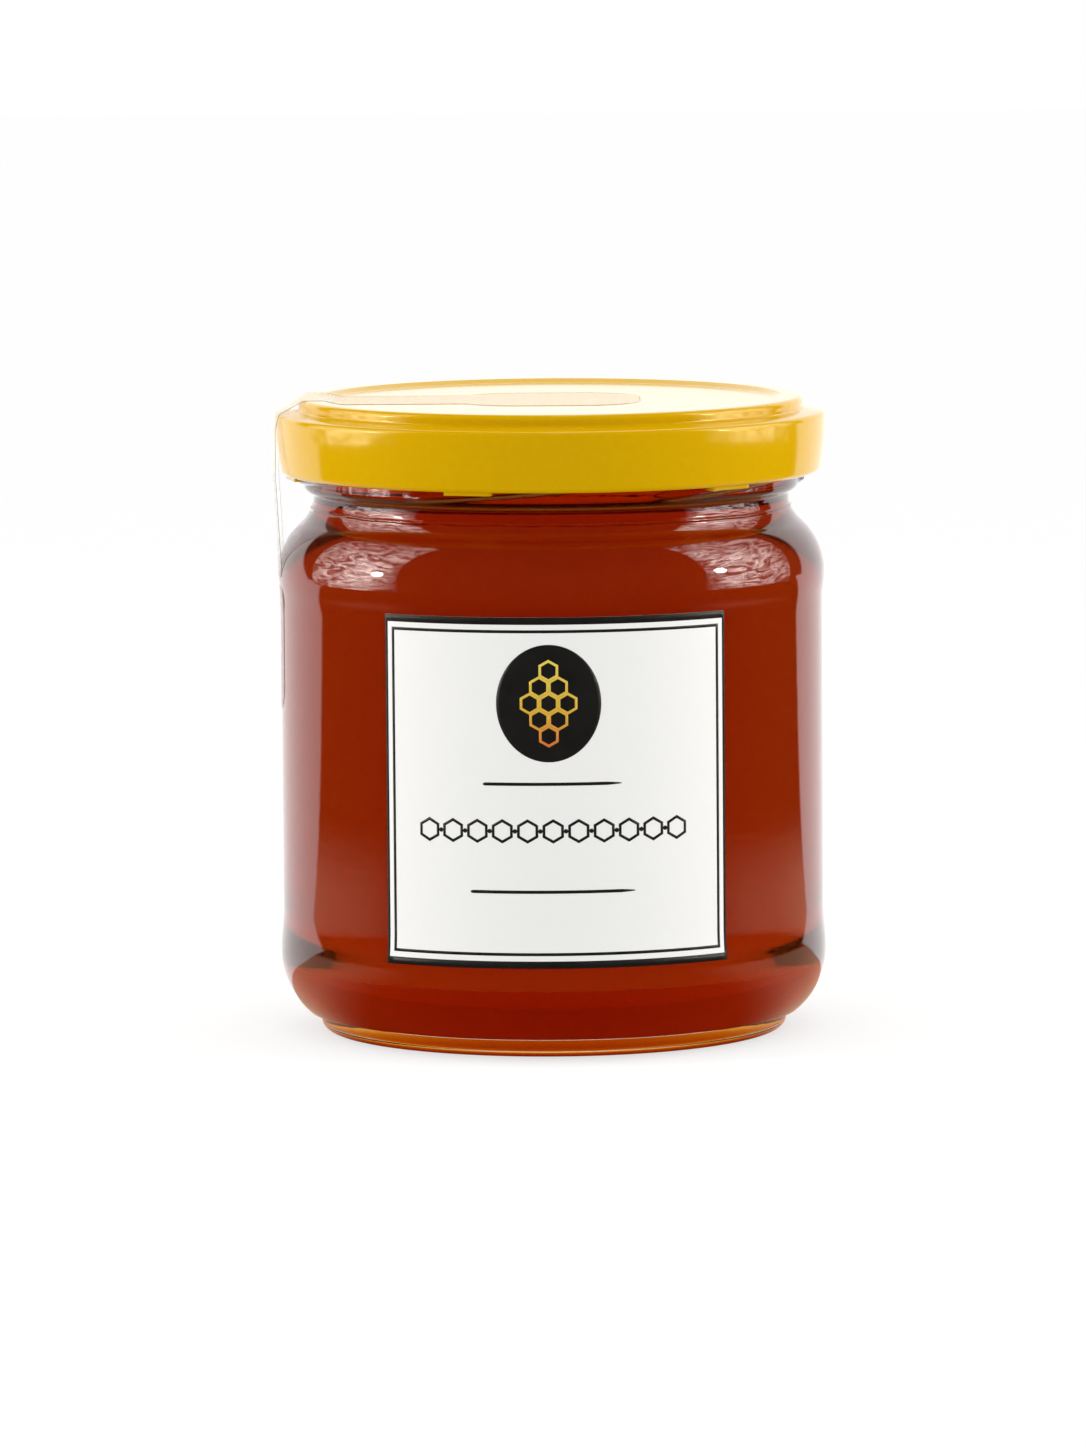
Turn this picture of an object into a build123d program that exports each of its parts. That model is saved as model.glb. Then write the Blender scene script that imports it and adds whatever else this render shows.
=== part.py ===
"""Honey jar: a round glass jar with a six-lug twist-off lid, its honey, a paper label and a clear seal strip.

Millimetres, +Z up. The origin is on the jar's axis, on the surface that the jar stands on.
The label faces -Y, and the seal strip comes down the -X side.
"""

import os
from math import asin, atan2, cos, degrees, radians, sin, sqrt

from build123d import *

# Glass jar: outside of the body
panel_radius = 42.25  # recessed straight wall that takes the label
panel_bottom = 19.8  # where the recess is at its full depth
panel_height = 47.0
heel_swell = 0.42  # widest point below the panel, beyond the panel
heel_bend = 7.4  # height from that widest point up to the panel
heel_round = 12.2  # rounding from the widest point down to the foot
shoulder_swell = 0.32  # widest point above the panel, beyond the panel
shoulder_bend = 4.5  # height from the panel up to that widest point
shoulder_round = 10.7
neck_step = 5.2  # how far the neck lies inside the panel
neck_round = 5.75  # hollow curve from the shoulder up into the neck
neck_height = 0.3  # short straight neck under the finish

# Glass jar: foot
foot_step = 5.95  # how far the foot lies inside the panel
foot_height = 3.05  # ledge where the foot meets the heel
foot_round = 1.5
foot_fillet = 0.4
rest_width = 1.6  # flat ring that touches the table
push_up = 2.4  # rise of the bottom's underside

# Glass jar: finish, the part that the lid grips
collar_round = 1.55  # rounded step from the neck out to the finish
finish_height = 14.5
rim_round = 1.1
ridge_count = 6
ridge_proud = 0.9
ridge_width = 1.5
ridge_rise = 0.086  # rise for each millimetre along the ridge
ridge_half_angle = 40.5  # degrees round the finish
ridge_turn = 6.5  # degrees from the front towards +X, to the first ridge's middle

# Glass jar: cavity
wall = 2.9  # at the panel
throat_wall = 3.3  # at the finish
bottom_thickness = 3.6
bottom_crown = 1.0  # how much higher the cavity's floor is in the middle
cavity_heel_round = 8.0
cavity_shoulder_round = 8.5
cavity_neck_round = 6.0

# Honey
fill_over_hem = 1.05  # how far its level lies above the lid's lower edge

# Lid, pressed from one sheet
sheet = 0.25
lid_height = 11.7  # from the hem's underside to the top of the raised ring
skirt_room = 0.7  # from the ridges to the rolled hem
skirt_taper = 0.6  # how much narrower the skirt is at the hem
ring_room = 0.7  # from the finish to the raised ring's outer wall
ledge_drop = 2.4  # from the ring's top down to the ledge's outer edge
ledge_rise = 0.6
ledge_round = 1.1  # rounded corner between skirt and ledge
ring_over_rim = 0.7  # how far the ring's inner edge lies outside the throat
ring_outer_round = 0.9
ring_inner_round = 0.8
ring_foot_round = 0.5
centre_drop = 0.6  # centre panel below the ring
centre_slope = 1.4  # width of the slope between ring and centre panel
centre_fillet = 1.0
hem_round = 1.0

# Lugs, pressed inwards from the hem
lug_width = 7.4
lug_height = 1.0
lug_lead = 35.4  # degrees from a ridge's middle to its lug
lug_to_wall = 0.3
lug_to_ridge = 0.15

# Paper label
label_width = 55.3  # measured round the glass
label_below = 5.2  # how far it reaches below the panel
label_above = 1.4
label_turn = 0.8  # degrees from the front towards +X
label_skew = 0.1  # degrees, right side higher
label_thickness = 0.15

# Seal strip: clear film stuck to the lid and to the glass
film = 0.15
film_gap = 0.05  # film's distance from the rounded edges that it is drawn over
fall_gap = 0.6  # film's distance from the skirt where it hangs free
fall_start = 2.0  # how far below the lid's corner it starts to hang free
landing = 0.9  # how far below the panel's top edge it lies flat on the glass
stuck_length = 16.3  # from the panel's top edge down to the strip's end
pull_angle = 54.0  # degrees from level, of the normal to the film between ring and skirt
band_width = 16.6
strip_end_round = 4.0
head_length = 28.0
head_width = 26.0
head_round = 9.0

# Radii and heights that follow from the sizes above
heel_radius = panel_radius + heel_swell
shoulder_radius = panel_radius + shoulder_swell
foot_radius = panel_radius - foot_step
rest_radius = foot_radius - foot_round
neck_radius = panel_radius - neck_step
finish_radius = neck_radius + collar_round
throat_radius = finish_radius - throat_wall
cavity_radius = panel_radius - wall
skirt_radius = finish_radius + ridge_proud + skirt_room + 2 * hem_round + skirt_taper
ring_outer = finish_radius + ring_room
ring_inner = throat_radius + ring_over_rim
centre_radius = ring_inner - centre_slope
reach = max(skirt_radius, heel_radius) + fall_gap + film  # beyond every piece

panel_top = panel_bottom + panel_height
heel_height = panel_bottom - heel_bend
shoulder_height = panel_top + shoulder_bend
shoulder_across = neck_radius + neck_round - shoulder_radius + shoulder_round
neck_start = shoulder_height + sqrt((shoulder_round + neck_round) ** 2 - shoulder_across**2)
collar_height = neck_start + neck_height
rim_height = collar_height + finish_height
cavity_floor = push_up + bottom_thickness
ring_top = rim_height + sheet
ledge_height = ring_top - ledge_drop
centre_height = ring_top - centre_drop
lid_bottom = ring_top - lid_height
fill_level = lid_bottom + fill_over_hem

heel_center = (heel_radius - heel_round, heel_height)
heel_end_angle = -degrees(asin((heel_height - foot_height) / heel_round))
hem_center = (skirt_radius - skirt_taper - hem_round, lid_bottom + hem_round)
lug_inner = finish_radius + lug_to_wall
lug_depth = hem_center[0] - lug_inner
lug_top = lid_bottom + hem_round + lug_height / 2
lug_half_angle = degrees(asin(lug_width / 2 / finish_radius))
label_chord = 2 * panel_radius * sin(label_width / 2 / panel_radius)
label_height = label_below + panel_height + label_above
label_middle = panel_bottom - label_below + label_height / 2

# A ridge's underside clears the near end of the lug that has turned in beneath it
ridge_run = finish_radius * sin(radians(lug_lead - lug_half_angle))
ridge_height = lug_top + lug_to_ridge + ridge_width / 2 - ridge_rise * ridge_run
ridge_length = 2 * finish_radius * sin(radians(ridge_half_angle))


def on_arc(center, radius, angle):
    """A point of a circle, with its angle in degrees."""
    return center[0] + radius * cos(radians(angle)), center[1] + radius * sin(radians(angle))


def round_center(before, corner, after, radius):
    """The centre of the arc that rounds an outline's corner."""
    back = (Vector(before) - Vector(corner)).normalized()
    ahead = (Vector(after) - Vector(corner)).normalized()
    center = Vector(corner) + (back + ahead).normalized() * radius / sin(radians(back.get_angle(ahead) / 2))
    return center.X, center.Y


def over_corner(center, radius, start, end):
    """Where the tangents to a rounded corner meet, for normals at the angles start and end."""
    return on_arc(center, radius / cos(radians((end - start) / 2)), (start + end) / 2)


def bend(wide, narrow, out):
    """Two equal arcs that lead from a widest point in to the panel, moved outwards by out."""
    across = wide[0] - narrow[0]
    along = narrow[1] - wide[1]
    radius = (across**2 + along**2) / (4 * across)
    sweep = degrees(asin(along / 2 / radius))
    CenterArc((wide[0] - radius, wide[1]), radius + out, 0, sweep)
    CenterArc((narrow[0] + radius, narrow[1]), radius - out, 180, sweep)


def body_side(out):
    """The glass's outside from heel to shoulder, moved outwards by out."""
    bend((heel_radius, heel_height), (panel_radius, panel_bottom), out)
    Line((panel_radius + out, panel_bottom), (panel_radius + out, panel_top))
    bend((shoulder_radius, shoulder_height), (panel_radius, panel_top), out)


def shoulder_side(side, round_out, round_in, neck):
    """A rounded shoulder and then a hollow curve that ends upright at the neck. Returns its height."""
    across = neck + round_in - side + round_out
    rise = sqrt((round_out + round_in) ** 2 - across**2)
    sweep = degrees(atan2(rise, across))
    CenterArc((side - round_out, shoulder_height), round_out, 0, sweep)
    CenterArc((neck + round_in, shoulder_height + rise), round_in, 180, sweep)
    return shoulder_height + rise


def cavity_side():
    """The room inside the glass, drawn beside the axis and ending at the rim."""
    corner = cavity_floor - bottom_crown
    flat = cavity_radius - cavity_heel_round
    ThreePointArc((0, cavity_floor), (flat / 2, cavity_floor - bottom_crown / 4), (flat, corner))
    CenterArc((flat, corner + cavity_heel_round), cavity_heel_round, -90, 90)
    Line((cavity_radius, corner + cavity_heel_round), (cavity_radius, shoulder_height))
    neck = shoulder_side(cavity_radius, cavity_shoulder_round, cavity_neck_round, throat_radius)
    Polyline((throat_radius, neck), (throat_radius, rim_height), (0, rim_height), (0, cavity_floor))


# One ridge at the front: a slanting bar, cut to the curve of the finish
with BuildPart() as ridge:
    with BuildSketch(Plane.XY.offset(rim_height - lid_height)):
        Circle(finish_radius + ridge_proud)
        Circle(finish_radius - ridge_proud, mode=Mode.SUBTRACT)
    extrude(amount=lid_height)
    with BuildSketch(Plane.XZ):
        with Locations(Location((0, ridge_height), degrees(atan2(ridge_rise, 1)))):
            SlotOverall(ridge_length, ridge_width)
    extrude(amount=reach, mode=Mode.INTERSECT)

# Glass jar, open at the top
with BuildPart() as glass_jar:
    with BuildSketch(Plane.XZ) as outline:
        with BuildLine():
            ThreePointArc(
                (0, push_up),
                ((rest_radius - rest_width) / 2, push_up * 3 / 4),
                (rest_radius - rest_width, 0),
            )
            Line((rest_radius - rest_width, 0), (rest_radius, 0))
            CenterArc((rest_radius, foot_round), foot_round, -90, 90)
            Polyline(
                (foot_radius, foot_round),
                (foot_radius, foot_height),
                on_arc(heel_center, heel_round, heel_end_angle),
            )
            CenterArc(heel_center, heel_round, heel_end_angle, -heel_end_angle)
            body_side(0)
            shoulder_side(shoulder_radius, shoulder_round, neck_round, neck_radius)
            Line((neck_radius, neck_start), (neck_radius, collar_height))
            CenterArc((neck_radius, collar_height + collar_round), collar_round, -90, 90)
            Polyline(
                (finish_radius, collar_height + collar_round),
                (finish_radius, rim_height),
                (0, rim_height),
                (0, push_up),
            )
        make_face()
        fillet([v for v in outline.vertices() if abs(v.Y - foot_height) < foot_fillet / 10], foot_fillet)
    revolve(axis=Axis.Z)
    with BuildSketch(Plane.XZ):
        with BuildLine():
            cavity_side()
        make_face()
    revolve(axis=Axis.Z, mode=Mode.SUBTRACT)
    fillet(glass_jar.edges().group_by(Axis.Z)[-1], rim_round)
    for i in range(ridge_count):
        add(ridge.part.rotate(Axis.Z, ridge_turn + i * 360 / ridge_count))
glass_jar.part.label = "glass_jar"

# Honey, face to face with the glass up to its level
with BuildPart() as honey:
    with BuildSketch(Plane.XZ):
        with BuildLine():
            cavity_side()
        make_face()
    revolve(axis=Axis.Z)
    split(bisect_by=Plane.XY.offset(fill_level), keep=Keep.BOTTOM)
honey.part.label = "honey"

# Lid, whose raised ring rests on the glass's rim
ledge_inner = (ring_outer, ledge_height + ledge_rise)
skirt_top = (skirt_radius, ledge_height)
skirt_bottom = (skirt_radius - skirt_taper, hem_center[1])

with BuildPart() as lid:
    with BuildSketch(Plane.XZ):
        with BuildLine() as pressing:
            FilletPolyline(
                (0, centre_height),
                (centre_radius, centre_height),
                (ring_inner, ring_top),
                (ring_outer, ring_top),
                ledge_inner,
                skirt_top,
                skirt_bottom,
                radius=[centre_fillet, ring_inner_round, ring_outer_round, ring_foot_round, ledge_round],
            )
            offset(pressing.line, sheet, side=Side.RIGHT, closed=True)
        make_face()
    revolve(axis=Axis.Z)
    # The sheet's edge, rolled shut into a round hem
    with BuildSketch(Plane.XZ):
        with Locations(hem_center):
            Circle(hem_round)
    revolve(axis=Axis.Z)
    # Lugs that turn in under the glass's ridges
    with BuildSketch(Plane.XY.offset(lug_top - lug_height)):
        with PolarLocations(lug_inner + lug_depth / 2, ridge_count, ridge_turn + lug_lead - 90):
            Rectangle(lug_depth, lug_width)
    extrude(amount=lug_height)
lid.part.label = "lid"

# Label: a rectangle of paper that follows the glass
with BuildPart() as front_label:
    with BuildSketch(Plane.XZ):
        with BuildLine():
            body_side(0)
            body_side(label_thickness)
            Line((heel_radius, heel_height), (heel_radius + label_thickness, heel_height))
            Line((shoulder_radius, shoulder_height), (shoulder_radius + label_thickness, shoulder_height))
        make_face()
    revolve(axis=Axis.Z)
    with BuildSketch(Plane.XZ.rotated((0, 0, label_turn))):
        with Locations(Location((0, label_middle), label_skew)):
            Rectangle(label_chord, label_height)
    extrude(amount=reach, mode=Mode.INTERSECT)
front_label.part.label = "front_label"

# Seal strip: a film from the lid's middle, over the ring and the lid's corner, and down to the glass
strip_end = panel_top - stuck_length
ring_corner = (ring_outer - ring_outer_round, ring_top - ring_outer_round)
lid_corner = round_center(ledge_inner, skirt_top, skirt_bottom, ledge_round)

with BuildPart() as seal_strip:
    with BuildSketch(Plane.XZ):
        with BuildLine() as film_side:
            Polyline(
                (0, centre_height),
                (centre_radius - centre_fillet, centre_height),
                (ring_inner, ring_top + film_gap),
                over_corner(ring_corner, ring_outer_round + film_gap, pull_angle, 90),
                over_corner(lid_corner, ledge_round + film_gap, 0, pull_angle),
                (skirt_radius + fall_gap, ledge_height - fall_start),
                (skirt_radius + fall_gap, lid_bottom),
                (shoulder_radius + film_gap, shoulder_height),
                (panel_radius, panel_top - landing),
                (panel_radius, strip_end),
            )
            offset(film_side.line, film, side=Side.LEFT, closed=True)
        make_face()
    revolve(axis=Axis.Z)
    # Seen from above: a rounded head on the lid and a band out over the lid's edge
    with BuildSketch():
        RectangleRounded(head_length, head_width, head_round)
        with Locations((-reach / 2, 0)):
            Rectangle(reach, band_width)
    extrude(amount=ring_top + film + film_gap, mode=Mode.INTERSECT)
    # Seen from the side: a band with a rounded end, below the wider head
    with BuildSketch(Plane.YZ):
        with Locations((0, strip_end)):
            RectangleRounded(band_width, lid_height, strip_end_round, align=(Align.CENTER, Align.MIN))
        with Locations((0, strip_end + strip_end_round)):
            Rectangle(head_width, ring_top, align=(Align.CENTER, Align.MIN))
    extrude(amount=reach, both=True, mode=Mode.INTERSECT)
seal_strip.part.label = "seal_strip"

os.makedirs("parts", exist_ok=True)
for piece in (glass_jar, honey, lid, front_label, seal_strip):
    export_step(piece.part, f"parts/{piece.part.label}.step")
    print(piece.part.label, round(piece.part.volume), "mm3")
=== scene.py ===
# %% [markdown]
# # A jar of honey
#
# A pressed glass jar with a twist-off cap, full of clear honey, with a paper label in front and
# a strip of clear film that runs from the cap down the glass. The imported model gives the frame:
# every piece here is made in metres, in that frame, and stands for the solid of the same name.
# The solids carry the true sizes, but their triangles are too coarse to bend light through, so
# each one is replaced by a finer surface worked out from the same sizes.

import bmesh
import bpy
import numpy as np
from mathutils import Matrix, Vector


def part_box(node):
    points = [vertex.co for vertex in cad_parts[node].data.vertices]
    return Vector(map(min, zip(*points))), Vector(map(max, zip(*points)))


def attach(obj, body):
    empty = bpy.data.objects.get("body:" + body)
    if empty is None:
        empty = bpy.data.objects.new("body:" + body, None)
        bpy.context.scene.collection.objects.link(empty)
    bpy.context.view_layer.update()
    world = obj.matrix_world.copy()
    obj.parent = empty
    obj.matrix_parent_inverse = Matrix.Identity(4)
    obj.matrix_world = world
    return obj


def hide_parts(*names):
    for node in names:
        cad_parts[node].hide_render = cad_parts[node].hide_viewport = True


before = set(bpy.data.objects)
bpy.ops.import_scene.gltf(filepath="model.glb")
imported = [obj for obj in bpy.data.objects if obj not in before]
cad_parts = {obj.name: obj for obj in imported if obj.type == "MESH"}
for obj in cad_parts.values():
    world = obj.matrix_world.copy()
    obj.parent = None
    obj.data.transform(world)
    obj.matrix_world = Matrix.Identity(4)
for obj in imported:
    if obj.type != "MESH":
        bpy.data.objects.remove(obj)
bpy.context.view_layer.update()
MM = 0.001
print("solids", sorted(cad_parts))

# %% [markdown]
# ## The camera
#
# A long lens from a metre and a half away keeps the jar's sides almost parallel, as in a shop's
# catalogue. The camera stands a little above the lid, looks slightly down, and is turned
# by a third of a degree about its own line of sight.

# %% Camera
camera_place = np.array([-1.45, -1500.0, 213.7]) * MM
camera_tilt = np.radians(90 - 6.33)
camera_roll = np.radians(-0.37)
camera = bpy.data.objects.new("camera", bpy.data.cameras.new("camera"))
camera.data.sensor_width = 36.0
camera.data.lens = 240.6
camera.data.clip_start = 0.1
camera.data.clip_end = 20.0
camera.location = camera_place
camera.rotation_euler = (
    Matrix.Rotation(camera_tilt, 3, "X") @ Matrix.Rotation(camera_roll, 3, "Z")
).to_euler()
bpy.context.scene.collection.objects.link(camera)
bpy.context.scene.camera = camera
bpy.context.scene.view_settings.view_transform = "Standard"
print("camera", np.round(camera.location, 3), "lens", camera.data.lens)

# %% [markdown]
# ## Colours and nodes
#
# Colours are written as sRGB hex values, the way a paint program shows them, and Blender's
# sockets want linear light, so one function does the change. One more function adds a node:
# a socket given to an input is linked, and anything else is set as its value.


# %% Helpers for materials
def linear(code, alpha=1.0):
    """An sRGB hex colour as linear light.

    The lowest values are divided by 12.92 and the rest raised to the power of 2.4.
    """
    srgb = np.array([int(code[i : i + 2], 16) for i in (0, 2, 4)]) / 255
    light = np.where(srgb <= 0.04045, srgb / 12.92, ((srgb + 0.055) / 1.055) ** 2.4)
    return (*light.tolist(), alpha)


def add(tree, kind, inputs=None, **settings):
    """Adds a node of a kind, with its own settings and its inputs linked or set."""
    made = tree.nodes.new(kind)
    for name, value in settings.items():
        setattr(made, name, value)
    for name, value in (inputs or {}).items():
        if isinstance(value, bpy.types.NodeSocket):
            tree.links.new(value, made.inputs[name])
        else:
            made.inputs[name].default_value = value
    return made


def material(name):
    """A new material with an empty tree and its output node."""
    made = bpy.data.materials.new(name)
    made.use_nodes = True
    made.node_tree.nodes.clear()
    return made, made.node_tree, add(made.node_tree, "ShaderNodeOutputMaterial")


def place(tree, scale=(1, 1, 1)):
    """Object coordinates in millimetres, stretched by a scale for each axis."""
    here = add(tree, "ShaderNodeTexCoord").outputs["Object"]
    times = tuple(share / MM for share in scale)
    return add(tree, "ShaderNodeVectorMath", {0: here, 1: times}, operation="MULTIPLY").outputs[0]


# %% [markdown]
# ## Surfaces from arrays
#
# Two kinds of surface make the whole jar. A turned shell carries a profile round the upright
# axis, as a lathe or a glass mould does. A slab is a thin sheet: a grid of points, and the same
# grid moved along its normals, with the rim closed between them. Both come back as points and
# faces, so that several can go into one mesh.


# %% Turned shells and slabs
def quads(rows, columns, wrap_rows, wrap_columns, start=0):
    """The quads of a grid of points numbered row by row.

    wrap_rows and wrap_columns join the last row or column to the first.
    """
    row = np.arange(rows if wrap_rows else rows - 1)[:, None]
    column = np.arange(columns if wrap_columns else columns - 1)[None, :]
    next_row, next_column = (row + 1) % rows, (column + 1) % columns
    corners = [
        row * columns + column,
        row * columns + next_column,
        next_row * columns + next_column,
        next_row * columns + column,
    ]
    return np.stack(np.broadcast_arrays(*corners), -1).reshape(-1, 4) + start


def turned(profile, steps, swell=None):
    """A profile of (radius, height) from one point of the axis to another, carried round it.

    At angle a from the front a point lies at (radius sin a, -radius cos a, height). swell moves
    points outwards: it takes angles, heights and radii and returns what is added to the radius.
    """
    radius, height = profile[1:-1, 0][:, None], profile[1:-1, 1][:, None]
    angle = np.arange(steps)[None, :] * 2 * np.pi / steps
    radius, height, angle = np.broadcast_arrays(radius, height, angle)
    out = radius if swell is None else radius + swell(angle, height, radius)
    grid = np.stack([out * np.sin(angle), -out * np.cos(angle), height], -1).reshape(-1, 3)
    poles = np.array([[0, 0, profile[0, 1]], [0, 0, profile[-1, 1]]])
    rows, first, last = len(profile) - 2, len(grid), len(grid) + 1
    around = np.arange(steps)
    ahead = (around + 1) % steps
    top = (rows - 1) * steps
    fans = [
        np.stack([np.full(steps, first), ahead, around], -1),
        np.stack([np.full(steps, last), top + around, top + ahead], -1),
    ]
    return np.concatenate([grid, poles]), [quads(rows, steps, False, True), *fans]


def normals(grid, ring):
    """Unit normals of a grid of points: the cross product of its two directions."""
    if ring:
        along = np.roll(grid, -1, 0) - np.roll(grid, 1, 0)
    else:
        along = np.gradient(grid, axis=0)
    across = np.gradient(grid, axis=1)
    normal = np.cross(along, across)
    return normal / np.maximum(np.linalg.norm(normal, axis=-1, keepdims=True), 1e-12)


def slab(grid, thickness, ring=False):
    """A grid of points and the same grid moved by a thickness along its normals, closed at the rim.

    The order of the rows and columns decides to which side it grows. ring joins the grid's last
    row to its first.
    """
    rows, columns = grid.shape[:2]
    outer = grid + normals(grid, ring) * thickness
    section = np.concatenate([grid, outer[:, ::-1]], 1)
    width = 2 * columns
    faces = [quads(rows, width, ring, True)]
    if not ring:
        low = np.arange(columns - 1)
        cap = np.stack([low, low + 1, width - 2 - low, width - 1 - low], -1)
        faces += [cap[:, ::-1], cap + (rows - 1) * width]
    return section.reshape(-1, 3), faces


# %% [markdown]
# A finished piece is one mesh of one or more shells. Points that fall together, as at the
# pointed end of a printed rule, are merged, and the normals are turned outwards where a shell
# came out mirrored.


# %% From shells to a piece
def piece(name, shells, finish, node=None):
    """Joins shells into one mesh object in metres, gives it a material and puts it in the frame."""
    points, faces, start = [], [], 0
    for vertices, parts in shells:
        points.append(vertices)
        faces += [row for part in parts for row in (part + start).tolist()]
        start += len(vertices)
    mesh = bpy.data.meshes.new(name)
    mesh.from_pydata((np.concatenate(points) * MM).tolist(), [], faces)
    mesh.materials.append(finish)
    tidy(mesh)
    mesh.polygons.foreach_set("use_smooth", np.ones(len(mesh.polygons), bool))
    made = bpy.data.objects.new(name, mesh)
    bpy.context.scene.collection.objects.link(made)
    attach(made, "root")
    if node:
        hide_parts(node)
    print(name, len(mesh.polygons), "faces")
    return made


def tidy(mesh):
    """Merges points closer than a tenth of a micrometre and turns every shell's faces outwards."""
    work = bmesh.new()
    work.from_mesh(mesh)
    bmesh.ops.remove_doubles(work, verts=work.verts, dist=1e-7)
    bmesh.ops.dissolve_degenerate(work, edges=work.edges, dist=1e-8)
    bmesh.ops.recalc_face_normals(work, faces=work.faces)
    work.to_mesh(mesh)
    work.free()


# %% [markdown]
# ## Profiles
#
# A jar's outline is straight lines and arcs, as its mould was turned. An arc needs points close
# enough together that no facet shows where light passes through it, and a straight line needs
# only a few.


# %% Arcs, lines and rounded corners
def arc(centre, radius, start, end, count=24):
    """Points of an arc from one angle to another, in degrees."""
    angle = np.radians(np.linspace(start, end, count))
    return np.stack([centre[0] + radius * np.cos(angle), centre[1] + radius * np.sin(angle)], -1)


def line(start, end, count=2):
    """Evenly spaced points of a straight line."""
    share = np.linspace(0, 1, count)[:, None]
    return np.array(start) * (1 - share) + np.array(end) * share


def joined(*parts):
    """Stretches of an outline in a row, without the points where one ends and the next starts."""
    path = np.concatenate(parts)
    apart = np.linalg.norm(np.diff(path, axis=0), axis=1) > 1e-6
    return path[np.concatenate([[True], apart])]


def rounded(points, radii, count=12):
    """A polyline whose inner corners are rounded.

    Each arc touches both its lines at radius / tan(half the corner) from the corner.
    """
    points = np.array(points, float)
    stretches = [points[:1]]
    for before, corner, after, radius in zip(points, points[1:], points[2:], radii):
        back, ahead = before - corner, after - corner
        back, ahead = back / np.linalg.norm(back), ahead / np.linalg.norm(ahead)
        half = np.arccos(np.clip(back @ ahead, -1, 1)) / 2
        centre = corner + (back + ahead) / np.linalg.norm(back + ahead) * radius / np.sin(half)
        touch = corner + np.array([back, ahead]) * radius / np.tan(half) - centre
        start, end = np.degrees(np.arctan2(touch[:, 1], touch[:, 0]))
        turn = (end - start + 180) % 360 - 180
        stretches.append(arc(centre, radius, start, start + turn, count))
    return joined(*stretches, points[-1:])


def right_of(path):
    """At each point of a path, the unit vector to the right of its direction."""
    direction = np.gradient(path, axis=0)
    right = np.stack([direction[:, 1], -direction[:, 0]], -1)
    return right / np.linalg.norm(right, axis=1, keepdims=True)


# %% [markdown]
# ## The glass jar
#
# The outside goes from the pushed-up bottom over the foot, a rounded heel, a slightly recessed
# panel for the label, a rounded shoulder and a hollow neck up to the finish, the upright rim
# that carries the cap's ridges. The inside is smoother, because the glass was blown against the
# mould from within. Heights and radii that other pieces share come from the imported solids.

# %% Sizes of the glass, in millimetres
glass_high = np.array(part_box("glass_jar")[1]) / MM
honey_high = np.array(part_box("honey")[1]) / MM

heel_radius = glass_high[0]
rim_height = glass_high[2]
cavity_radius = honey_high[0]
fill_level = honey_high[2]

panel_radius = 42.25
panel_bottom = 19.8
panel_top = 66.8
heel_height = 12.4
heel_round = 12.2
heel_share = 0.36  # how far up the bend above the heel its two arcs meet
shoulder_radius = 42.57
shoulder_height = 71.3
shoulder_round = 10.7
neck_radius = 37.05
neck_round = 5.75
finish_radius = 38.6
collar_height = rim_height - 14.5
collar_round = 1.55
rim_round = 1.1
foot_radius = 36.3
foot_height = 3.05
foot_round = 1.5
foot_fillet = 0.45
rest_width = 1.6
push_up = 2.4
throat_radius = 35.3
throat_length = 9
cavity_corner = 8.0
cavity_shoulder_round = 8.5
cavity_neck_round = 6.0
floor_height = 6.0
floor_crown = 1.0
print("rim", round(rim_height, 2), "honey level", round(fill_level, 2))


# %% Outline of the glass
def bend(wide, narrow, share=0.5, count=20):
    """From a widest point in to the straight panel: two arcs that meet on a slope.

    share is how far up the height they meet, and each arc is upright at its own end.
    """
    across, along = wide[0] - narrow[0], narrow[1] - wide[1]
    tall = np.abs(along) * np.array([share, 1 - share])
    slope = across / np.abs(along)
    step = np.linspace(0, 1, count)
    first = np.stack([wide[0] - slope * tall[0] * step**2, wide[1] + along * share * step], -1)
    second = np.stack(
        [
            narrow[0] + slope * tall[1] * (1 - step) ** 2,
            wide[1] + along * (share + (1 - share) * step),
        ],
        -1,
    )
    return joined(first, second)


def shoulder(side, round_out, round_in, neck, count=40):
    """A rounded shoulder and then a hollow curve that ends upright at the neck."""
    across = neck + round_in - side + round_out
    rise = np.sqrt((round_out + round_in) ** 2 - across**2)
    sweep = np.degrees(np.arctan2(rise, across))
    return joined(
        arc((side - round_out, shoulder_height), round_out, 0, sweep, count),
        arc((neck + round_in, shoulder_height + rise), round_in, 180 + sweep, 180, count),
    )


heel_centre = (heel_radius - heel_round, heel_height)
heel_end = -np.degrees(np.arcsin((heel_height - foot_height) / heel_round))
rest_radius = foot_radius - foot_round
heel_bend = bend((heel_radius, heel_height), (panel_radius, panel_bottom), heel_share)
shoulder_bend = bend((shoulder_radius, shoulder_height), (panel_radius, panel_top))
body_side = joined(
    heel_bend,
    line((panel_radius, panel_bottom), (panel_radius, panel_top), 24),
    shoulder_bend[::-1],
)
step_in = heel_centre[0] + heel_round * np.cos(np.radians(heel_end))
finish_step = 0.14  # close rows where the ridges stand out
rest_inner = rest_radius - rest_width
reach = np.linspace(0, 1, 16)
underside = np.stack([rest_inner * reach, push_up * (1 - reach**2)], -1)
outside = joined(
    underside,
    arc((rest_radius, foot_round), foot_round, -90, 0, 10),
    rounded(
        [(foot_radius, foot_round), (foot_radius, foot_height), (step_in, foot_height)],
        [foot_fillet],
        6,
    ),
    arc(heel_centre, heel_round, heel_end, 0, 48),
    body_side,
    shoulder(shoulder_radius, shoulder_round, neck_round, neck_radius, 50),
    line((neck_radius, collar_height - 0.3), (neck_radius, collar_height)),
    arc((neck_radius, collar_height + collar_round), collar_round, -90, 0, 14),
    line(
        (finish_radius, collar_height + collar_round),
        (finish_radius, rim_height - rim_round),
        int((rim_height - rim_round - collar_height - collar_round) / finish_step),
    ),
    arc((finish_radius - rim_round, rim_height - rim_round), rim_round, 0, 90, 8),
)


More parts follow.
